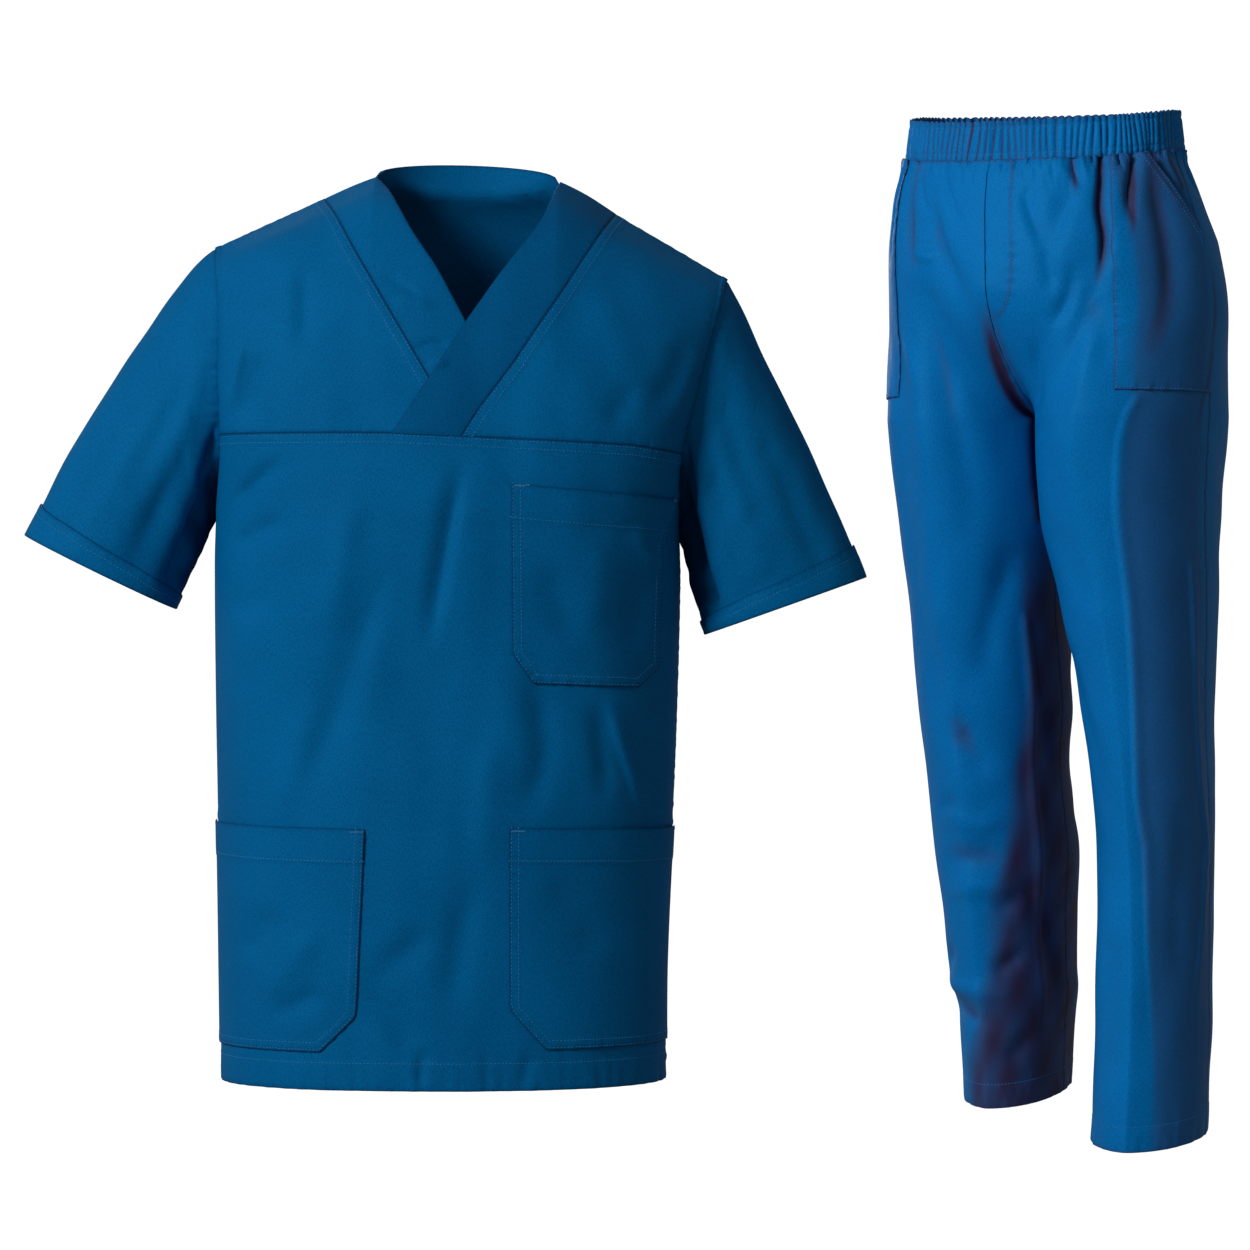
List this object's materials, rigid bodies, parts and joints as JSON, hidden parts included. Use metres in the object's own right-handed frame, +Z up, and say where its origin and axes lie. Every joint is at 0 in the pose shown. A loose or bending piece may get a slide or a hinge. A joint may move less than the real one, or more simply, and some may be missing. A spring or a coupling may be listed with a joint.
{
  "type": "medical scrubs, a worn V-neck top and pull-on trousers",
  "caption": "Hollow set of medical scrubs as worn: short-sleeved V-neck top with crossed neck band and patch pockets, and trousers with a shirred elastic waist.",
  "frame": {"origin": "between the shoulders of the top, in the neck opening just under the neck points, where the wearer holds it up", "axes": "+Z up, the fronts of both garments towards -Y, +X towards the wearer's left, where the trousers stand beside the top and turned 35 degrees to their right"},
  "size_m": [1.1013, 0.613, 0.9805],
  "materials": {
    "top_twill": "matt twill",
    "trouser_twill": "satin twill"
  },
  "bodies": {
    "root": {"front_body": "top_twill", "front_yoke_right": "top_twill", "front_yoke_left": "top_twill", "neck_band_right": "top_twill", "neck_band_left": "top_twill", "pocket_chest": "top_twill", "pocket_lower_right": "top_twill", "pocket_lower_left": "top_twill", "back_body": "top_twill", "sleeve_right": "top_twill", "sleeve_left": "top_twill", "cuff_right": "top_twill", "cuff_left": "top_twill", "leg_front_left": "trouser_twill", "leg_back_left": "trouser_twill", "slant_pocket_left": "trouser_twill", "leg_front_right": "trouser_twill", "leg_back_right": "trouser_twill", "slant_pocket_right": "trouser_twill", "waistband": "trouser_twill"}
  },
  "joints": []
}
